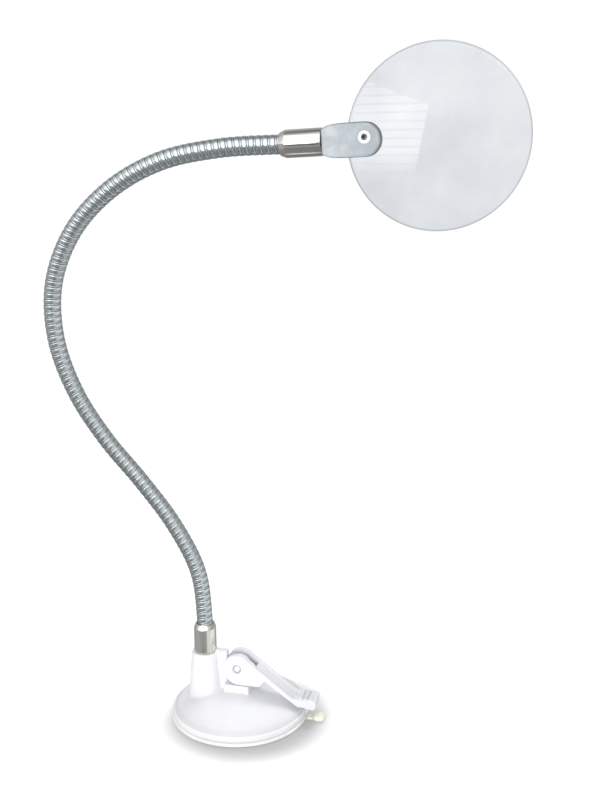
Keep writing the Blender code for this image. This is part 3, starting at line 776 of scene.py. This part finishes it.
def trough_cutter(half):
    """The hollow along the arm: flat in the middle, curved up to its lips and closing at its far end."""
    along = (TROUGH_END - TROUGH_START).normalized()
    up = Vector((-along.z, 0, along.x))
    side = Vector((0, 1, 0))
    rim_half = half - TROUGH_LIP
    points = []
    for k in range(TROUGH_ROWS):
        share = k / (TROUGH_ROWS - 1)
        ends = min(1.0, math.sqrt(max(0.0, 1 - max(0.0, (share - 0.86) / 0.14) ** 2)) + 0.02)
        depth = TROUGH_DEPTH * min(1.0, 0.35 + share * 4) * (0.35 + 0.65 * ends)
        middle = TROUGH_START.lerp(TROUGH_END, share)
        for i in range(TROUGH_RING):
            t = -1 + 2 * i / (TROUGH_RING - 1)
            across = math.copysign(abs(t) ** 0.85, t) * rim_half * ends
            wall = max(1e-6, (rim_half - TROUGH_FLOOR_HALF) * ends)
            bowl = max(0.0, (abs(across) - TROUGH_FLOOR_HALF * ends) / wall)
            points.append(middle + side * across - up * (depth * (1 - min(1.0, bowl) ** 2.2)))
        points.append(middle + side * rim_half * ends + up * 5 * MM)
        points.append(middle - side * rim_half * ends + up * 5 * MM)
    return tube("trough", points, TROUGH_RING + 2)


def build_lever():
    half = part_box("cam_lever")[1].y
    outline = [(x, z + PIN_Z) for x, z in lever_outline()]
    lever = prism("cam_lever_moulding", outline, -half, half)
    edges = lever.modifiers.new("edges", "BEVEL")
    edges.width = 0.45 * MM
    edges.segments = 2
    edges.limit_method = "ANGLE"
    edges.angle_limit = math.radians(50)
    apply_all(lever)
    boolean(lever, trough_cutter(half), "DIFFERENCE")

    ribs = []
    for index in range(3):
        x, z = (40.6 + 3.1 * index) * MM, PIN_Z - 16.2 * MM
        rib = rod("rib", (x, -half + 0.9 * MM, z), (x, half - 0.9 * MM, z), 1.0 * MM, 24)
        ribs.append(rib)
    lever = joined("cam_lever_moulding", [lever, *ribs])
    soften(lever, 0.21 * MM, 3)

    slot_low = (-15 * MM, -FORK_GAP_HALF, PIN_Z - 15 * MM)
    slot_high = (11.6 * MM, FORK_GAP_HALF, PIN_Z + 15 * MM)
    boolean(lever, block("slot", slot_low, slot_high), "DIFFERENCE")
    for face in (-1, 1):
        inside, outside = face * (half - 0.45 * MM), face * (half + 2 * MM)
        boolean(lever, rod("sink", (0, inside, PIN_Z), (0, outside, PIN_Z), PIN_SINK), "DIFFERENCE")
    bore = rod("bore", (0, -half * 2, PIN_Z), (0, half * 2, PIN_Z), PIN_BORE)
    boolean(lever, bore, "DIFFERENCE")
    tidy_normals(lever, 45)
    dress(lever, lever_abs_painted_hollow_shade)
    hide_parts("cam_lever")
    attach(lever, "cam_lever")

    pin_half = PIN_HIGH.y
    pin = [(0.0, pin_half - 0.1 * MM), (1.3 * MM, pin_half - 0.05 * MM), (1.8 * MM, pin_half - 0.2 * MM)]
    pin += [(2.1 * MM, pin_half - 0.6 * MM)]
    pin = lathe("lever_pin_moulding", pin + [(r, -z) for r, z in reversed(pin)], 48)
    pin.data.transform(Vector((0, 1, 0)).to_track_quat("Z", "X").to_matrix().to_4x4())
    pin.data.transform(translation(0, 0, PIN_Z))
    dress(pin, white_abs)
    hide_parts("lever_pin")
    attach(pin, "cam_lever")


def dress_plain_nodes():
    """Pieces that keep the part's own shapes."""
    stem = frame["nodes"]["pull_stem"]
    dress(stem, white_abs)
    edges = stem.modifiers.new("edges", "BEVEL")
    edges.width = 0.3 * MM
    edges.segments = 2
    edges.limit_method = "ANGLE"
    edges.angle_limit = math.radians(50)
    for plain in ("base_bolt", "bolt_washer"):
        dress(frame["nodes"][plain], zinc)


build_lever()
dress_plain_nodes()


# ---------------------------------------------------------------- ferrules and head


def axes_matrix(origin, x_axis, y_axis, z_axis):
    columns = Matrix((x_axis, y_axis, z_axis)).transposed().to_4x4()
    columns.translation = origin
    return columns


HEAD = axes_matrix(head_origin, head_x, head_y, head_z)
RIVET = HEAD.inverted() @ Vector(joints["lens_swing"]["pos_m"])


# Ferrules
FERRULE_RADIUS = 7.0 * MM
FERRULE_TAPER = 3.0 * MM
FERRULE_BORE = 2.75 * MM
SOCKET_RADIUS = 5.3 * MM
SOCKET_DEPTH = 11 * MM

# Holder, in the head's frame, and the slot that takes the lens, as (x, z) from the rivet in mm
HOLDER_GAP = 0.3 * MM
HOLDER_END = 51.8 * MM
HOLDER_HALF_WIDTH = 8.5 * MM
HOLDER_HALF_DEPTH = 6.2 * MM
TIP_REACH = 0.94
LENS_SLOT_MM = [(-13.3, 0), (-18, 9.4), (-18, 17), (20, 17), (20, -17), (-18, -17), (-18, -9.4)]
LENS_SLOT_HALF = 2.65 * MM
STUD_HOLE_END = 29.3 * MM
STUD_HOLE = 2.75 * MM
RIVET_HOLE = 2.5 * MM
RIVET_REACH = Vector((0, 12 * MM, 0))

# Stud's thread, with its pitch in mm
THREAD_TURNS = 22
THREAD_PITCH = 0.7
THREAD_ROOT = 2.1 * MM
THREAD_CREST = 2.4 * MM

# Rings round the rivet, as (radius, distance from the lens's middle plane) in mm
BUSH_MM = [
    (1.65, 0.3), (1.65, 7.15), (1.8, 7.3), (2.6, 7.3), (3.0, 7.12), (3.1, 6.85), (3.1, 6.5), (2.2, 6.5),
    (2.2, 0.3),
]
EYELET_MM = [(0.9, 7.05), (1.0, 7.28), (1.25, 7.3), (1.35, 7.1), (1.35, 6.0)]

# Lens: its middle lies LENS_REACH from the rivet, a little below the head's axis
LENS_RADIUS = 45.2 * MM
LENS_EDGE = 1.1 * MM
LENS_SAG = 1.9 * MM
LENS_REACH = 35.6 * MM
LENS_REST = math.radians(-4)


def ferrule_profile(length):
    """Mouth at 0 and the body below it, with softly broken edges."""
    outer = [(5.45 * MM, 0.0), (5.9 * MM, 0.0), (FERRULE_RADIUS, -FERRULE_TAPER)]
    outer += [(FERRULE_RADIUS, -length), (6.7 * MM, -length)]
    inner = [(FERRULE_BORE, -length), (FERRULE_BORE, -SOCKET_DEPTH)]
    inner += [(SOCKET_RADIUS, -SOCKET_DEPTH), (SOCKET_RADIUS, -0.15 * MM)]
    return rounded(outer, 0.35 * MM, 4) + inner


def build_ferrules():
    lower = lathe("lower_ferrule_sleeve", ferrule_profile(FERRULE_HIGH.z - FERRULE_LOW.z), 96, True, 50)
    lower.data.transform(translation(COLUMN_X, 0, FERRULE_HIGH.z))
    dress(lower, nickel)
    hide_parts("lower_ferrule")
    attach(lower, "base")

    points = np.array([vertex.co for vertex in frame["nodes"]["upper_ferrule"].data.vertices])
    length = float(np.ptp(points @ np.array(head_x)))
    upper = lathe("upper_ferrule_sleeve", ferrule_profile(length), 96, True, 50)
    back = axes_matrix(Vector(), Vector((0, 1, 0)), Vector((0, 0, -1)), Vector((-1, 0, 0)))
    upper.matrix_world = HEAD @ back
    dress(upper, nickel)
    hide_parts("upper_ferrule")
    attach(upper, "head")
    return length


def build_head(ferrule_length):
    start = ferrule_length + HOLDER_GAP
    tip = [
        (HOLDER_END - HOLDER_HALF_WIDTH * TIP_REACH * (1 - x), HOLDER_HALF_WIDTH * z)
        for x, z in arc((0, 0), 1, -90, 90, 40)
    ]
    upper = [(start + x * MM, z * MM) for x, z in HOLDER_ROOT]
    lower = [(x, -z) for x, z in reversed(upper)]
    holder = prism("lens_holder_moulding", tip + upper + lower, -HOLDER_HALF_DEPTH, HOLDER_HALF_DEPTH)
    edges = holder.modifiers.new("edges", "BEVEL")
    edges.width = 3.0 * MM
    edges.segments = 6
    edges.limit_method = "ANGLE"
    edges.angle_limit = math.radians(60)
    apply_all(holder)
    soften(holder, 0.3 * MM, 8)
    slot = [(RIVET.x + x * MM, RIVET.z + z * MM) for x, z in LENS_SLOT_MM]
    boolean(holder, prism("slot", slot, -LENS_SLOT_HALF, LENS_SLOT_HALF), "DIFFERENCE")
    boolean(holder, rod("bore", (start - 5 * MM, 0, 0), (STUD_HOLE_END, 0, 0), STUD_HOLE), "DIFFERENCE")
    boolean(holder, rod("hole", RIVET - RIVET_REACH, RIVET + RIVET_REACH, RIVET_HOLE), "DIFFERENCE")
    tidy_normals(holder, 45)
    holder.matrix_world = HEAD
    dress(holder, frosted)
    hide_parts("lens_holder")
    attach(holder, "head")

    thread = [(0.0, 13.0 * MM)]
    for k in range(THREAD_TURNS):
        thread.append((THREAD_ROOT, (13.2 + THREAD_PITCH * k) * MM))
        thread.append((THREAD_CREST, (13.55 + THREAD_PITCH * k) * MM))
    thread += [(THREAD_ROOT, 28.8 * MM), (1.7 * MM, 29.0 * MM), (0.0, 29.0 * MM)]
    stud = lathe("holder_stud_thread", thread, 40, smooth_angle=20)
    along = axes_matrix(Vector(), Vector((0, 0, -1)), Vector((0, 1, 0)), Vector((1, 0, 0)))
    stud.matrix_world = HEAD @ along
    dress(stud, zinc)
    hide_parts("holder_stud")
    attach(stud, "head")

    bush = [(radius * MM, y * MM) for radius, y in BUSH_MM]
    lip = [(radius * MM, y * MM) for radius, y in EYELET_MM]
    eyelet = lip + [(radius, -y) for radius, y in reversed(lip)]
    axis = axes_matrix(RIVET, Vector((1, 0, 0)), Vector((0, 0, 1)), Vector((0, -1, 0)))
    back = axes_matrix(RIVET, Vector((1, 0, 0)), Vector((0, 0, -1)), Vector((0, 1, 0)))
    for name, profile, place, look, slot, node in (
        ("rivet_bush_front_ring", bush, axis, nylon, "white_nylon", "rivet_bush_front"),
        ("rivet_bush_rear_ring", bush, back, nylon, "white_nylon", "rivet_bush_rear"),
        ("pivot_rivet_eyelet", eyelet, axis, zinc, "zinc_steel", "pivot_rivet"),
    ):
        ring = lathe(name, profile, 64, True)
        ring.matrix_world = HEAD @ place
        dress(ring, look)
        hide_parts(node)
        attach(ring, "head")


build_head(build_ferrules())


def build_lens():
    """A slim double-convex disc, turned about the axis it looks along, and bored for the pivot."""
    rows = np.linspace(0, 1, 30)
    front = [(LENS_RADIUS * 0.992 * t, LENS_EDGE + LENS_SAG * (1 - t * t)) for t in rows]
    front += [(LENS_RADIUS * 0.998, LENS_EDGE - 0.08 * MM), (LENS_RADIUS, LENS_EDGE - 0.3 * MM)]
    lens = lathe("lens_disc", front + [(r, -z) for r, z in reversed(front)], 160, smooth_angle=30)
    place = RIVET + Vector((math.cos(LENS_REST), 0, math.sin(LENS_REST))) * LENS_REACH
    lens.data.transform(axes_matrix(place, Vector((1, 0, 0)), Vector((0, 0, 1)), Vector((0, -1, 0))))
    boolean(lens, rod("hole", RIVET - RIVET_REACH, RIVET + RIVET_REACH, RIVET_HOLE), "DIFFERENCE")
    tidy_normals(lens, 30)
    lens.matrix_world = HEAD
    # Painted shade: a thin darker ring at the lens's rim
    lens_rim_painted_shade = [(0, 1), (LENS_RADIUS - 1.1 * MM, 1), (LENS_RADIUS - 0.2 * MM, 0.64)]
    shade_rings(acrylic, place, (1, 1, 1), lens_rim_painted_shade)
    dress(lens, acrylic)
    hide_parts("lens")
    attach(lens, "lens")


build_lens()


# ---------------------------------------------------------------- studio


def build_floor():
    """A pale sheet that stays white into the distance, with a soft shadow painted on it close to the base."""
    corners = [(x * FLOOR_HALF, y * FLOOR_HALF, 0) for x, y in ((-1, -1), (1, -1), (1, 1), (-1, 1))]
    floor = mesh_object("floor", corners, [(0, 1, 2, 3)])
    floor.location.z = -FLOOR_DROP
    look = surface("pale_floor", (0.845, 0.845, 0.845), (0.825, 0.825, 0.825), 0.4, (0.75, 0.85))
    nodes, links = look.node_tree.nodes, look.node_tree.links
    shader = nodes["Principled BSDF"]
    set_inputs(shader, {"Emission Color": (1, 1, 1, 1), "Specular IOR Level": 0.1})
    place, shift, far = (nodes.new(f"ShaderNode{kind}") for kind in ("TexCoord", "VectorMath", "VectorMath"))
    shift.operation, far.operation = "SUBTRACT", "LENGTH"
    shift.inputs[1].default_value = SHADOW_CENTRE
    links.new(place.outputs["Object"], shift.inputs[0])
    links.new(shift.outputs["Vector"], far.inputs[0])
    glow, shade = nodes.new("ShaderNodeMapRange"), nodes.new("ShaderNodeMapRange")
    set_inputs(glow, {"From Min": 0.2, "From Max": 1.1, "To Min": 0.31, "To Max": 0.53})
    links.new(far.outputs["Value"], glow.inputs["Value"])
    shade.interpolation_type = "SMOOTHERSTEP"
    set_inputs(shade, {"From Min": SHADOW_INNER, "From Max": SHADOW_OUTER, "To Min": SHADOW_FACTOR})
    links.new(far.outputs["Value"], shade.inputs["Value"])
    kept = nodes.new("ShaderNodeMath")
    kept.operation = "MULTIPLY"
    links.new(glow.outputs["Result"], kept.inputs[0])
    links.new(shade.outputs["Result"], kept.inputs[1])
    links.new(kept.outputs["Value"], shader.inputs["Emission Strength"])
    dim = nodes.new("ShaderNodeVectorMath")
    dim.operation = "SCALE"
    links.new(nodes["Color Ramp"].outputs["Color"], dim.inputs[0])
    links.new(shade.outputs["Result"], dim.inputs["Scale"])
    links.new(dim.outputs["Vector"], shader.inputs["Base Color"])
    floor.data.materials.append(look)
    floor.visible_glossy = False


def build_world():
    """White all round, but mirror-like surfaces see a studio that is brightest in front."""
    world = bpy.data.worlds.new("studio")
    bpy.context.scene.world = world
    world.use_nodes = True
    nodes, links = world.node_tree.nodes, world.node_tree.links
    nodes.clear()
    out = nodes.new("ShaderNodeOutputWorld")
    white, soft, studio = (nodes.new("ShaderNodeBackground") for _ in range(3))
    set_inputs(white, {"Color": (1, 1, 1, 1), "Strength": WHITE_STRENGTH})
    set_inputs(soft, {"Color": SOFT_LIGHT, "Strength": 1.0})
    rays = nodes.new("ShaderNodeLightPath")
    lit, mirrored = nodes.new("ShaderNodeMixShader"), nodes.new("ShaderNodeMixShader")
    seen = nodes.new("ShaderNodeMath")
    seen.operation = "MAXIMUM"
    links.new(rays.outputs["Is Camera Ray"], seen.inputs[0])
    links.new(rays.outputs["Is Transmission Ray"], seen.inputs[1])
    links.new(seen.outputs[0], lit.inputs["Fac"])
    links.new(soft.outputs[0], lit.inputs[1])
    links.new(white.outputs[0], lit.inputs[2])
    only = nodes.new("ShaderNodeMath")
    only.operation = "SUBTRACT"
    only.use_clamp = True
    links.new(rays.outputs["Is Glossy Ray"], only.inputs[0])
    links.new(rays.outputs["Is Transmission Ray"], only.inputs[1])
    links.new(only.outputs[0], mirrored.inputs["Fac"])
    links.new(lit.outputs[0], mirrored.inputs[1])
    links.new(studio.outputs[0], mirrored.inputs[2])
    links.new(mirrored.outputs[0], out.inputs[0])

    place = nodes.new("ShaderNodeTexCoord")
    parts = nodes.new("ShaderNodeSeparateXYZ")
    links.new(place.outputs["Generated"], parts.inputs[0])
    turn, flip = nodes.new("ShaderNodeMath"), nodes.new("ShaderNodeMath")
    turn.operation, flip.operation = "ARCTAN2", "MULTIPLY"
    flip.inputs[1].default_value = -1.0
    links.new(parts.outputs["Y"], flip.inputs[0])
    links.new(parts.outputs["X"], turn.inputs[0])
    links.new(flip.outputs[0], turn.inputs[1])
    around = nodes.new("ShaderNodeMapRange")
    set_inputs(around, {"From Min": -math.pi, "From Max": math.pi})
    links.new(turn.outputs[0], around.inputs["Value"])
    height = nodes.new("ShaderNodeMapRange")
    set_inputs(height, {"From Min": -1.0, "From Max": 1.0})
    links.new(parts.outputs["Z"], height.inputs["Value"])
    bands = [ramp(nodes, stops) for stops in (STUDIO_TABLE, STUDIO_LEVEL, STUDIO_HIGH)]
    for band in bands:
        links.new(around.outputs[0], band.inputs["Fac"])
    total = bands[0].outputs["Color"]
    for band, low, high in ((bands[1], 0.485, 0.5), (bands[2], 0.54, 0.60)):
        step = ramp(nodes, [(low, 0.0), (high, 1.0)])
        total = blended(nodes, links, "MIX", height.outputs[0], step, total, band.outputs["Color"])
    ceiling = ramp(nodes, STUDIO_CEILING)
    links.new(height.outputs[0], ceiling.inputs["Fac"])
    total = blended(nodes, links, "MULTIPLY", None, None, total, ceiling.outputs["Color"])
    links.new(total, studio.inputs["Color"])
    studio.inputs["Strength"].default_value = 1.0


def blended(nodes, links, kind, height, step, first, second):
    """Mixes or multiplies two colours, by a ramp over the height where one is given."""
    mix = nodes.new("ShaderNodeMix")
    mix.data_type, mix.blend_type = "RGBA", kind
    mix.inputs["Factor"].default_value = 1.0
    if step:
        links.new(height, step.inputs["Fac"])
        links.new(step.outputs["Color"], mix.inputs["Factor"])
    links.new(first, mix.inputs[6])
    links.new(second, mix.inputs[7])
    return mix.outputs[2]


def card(name, y, corners, strength):
    """A slatted reflector, or a dark flag, that only mirror-like surfaces see."""
    sheet = mesh_object(name, [(x, y, z) for x, z in corners], [(0, 1, 2, 3)])
    look = bpy.data.materials.new(name)
    look.use_nodes = True
    nodes, links = look.node_tree.nodes, look.node_tree.links
    nodes.clear()
    out, glow = nodes.new("ShaderNodeOutputMaterial"), nodes.new("ShaderNodeEmission")
    slats = nodes.new("ShaderNodeTexWave")
    slats.bands_direction = "Z"
    place = nodes.new("ShaderNodeTexCoord")
    set_inputs(slats, {"Scale": 9.5, "Distortion": 0.5})
    links.new(place.outputs["Object"], slats.inputs["Vector"])
    shade = nodes.new("ShaderNodeMapRange")
    set_inputs(shade, {"From Max": 0.25, "To Min": strength * 0.5, "To Max": strength})
    links.new(slats.outputs["Fac"], shade.inputs["Value"])
    parts, fade, total = (nodes.new(f"ShaderNode{kind}") for kind in ("SeparateXYZ", "MapRange", "Math"))
    total.operation = "MULTIPLY"
    links.new(place.outputs["Object"], parts.inputs[0])
    links.new(parts.outputs["Z"], fade.inputs["Value"])
    set_inputs(fade, {"From Min": 0.12, "From Max": 0.20})
    links.new(shade.outputs[0], total.inputs[0])
    links.new(fade.outputs[0], total.inputs[1])
    links.new(total.outputs[0], glow.inputs["Strength"])
    links.new(glow.outputs[0], out.inputs[0])
    sheet.data.materials.append(look)
    for ray in ("camera", "diffuse", "transmission", "volume_scatter", "shadow"):
        setattr(sheet, f"visible_{ray}", False)


def lamp(name, place, target, size, power):
    """A soft lamp that mirror-like and clear surfaces don't see."""
    data = bpy.data.lights.new(name, "AREA")
    data.shape = "RECTANGLE"
    data.size, data.size_y = size
    data.energy = power
    thing = bpy.data.objects.new(name, data)
    bpy.context.scene.collection.objects.link(thing)
    thing.location = place
    thing.rotation_mode = "QUATERNION"
    thing.rotation_quaternion = (Vector(target) - Vector(place)).to_track_quat("-Z", "Y")
    thing.visible_glossy = False
    thing.visible_transmission = False


def build_studio():
    build_floor()
    build_world()
    card("window", WINDOW_Y, WINDOW_CORNERS, WINDOW_STRENGTH)
    card("flag", FLAG_Y, FLAG_CORNERS, 0.0)
    lamp("front_softbox", (0.1, -1.2, 0.48), (0, 0, 0.1), (0.9, 0.5), FRONT_POWER)
    lamp("top_softbox", (0.1, 0.45, 1.1), (0, 0, 0), (0.5, 0.5), TOP_POWER)

    data = bpy.data.cameras.new("photo_camera")
    data.lens = CAMERA_LENS
    data.sensor_width = CAMERA_SENSOR
    data.sensor_fit = "AUTO"
    data.clip_start, data.clip_end = 0.01, 50
    camera = bpy.data.objects.new("photo_camera", data)
    bpy.context.scene.collection.objects.link(camera)
    camera.location = CAMERA_PLACE
    camera.rotation_mode = "QUATERNION"
    camera.rotation_quaternion = CAMERA_FORWARD.to_track_quat("-Z", "Y")
    bpy.context.scene.camera = camera
    bpy.context.scene.view_settings.view_transform = "Standard"


build_studio()
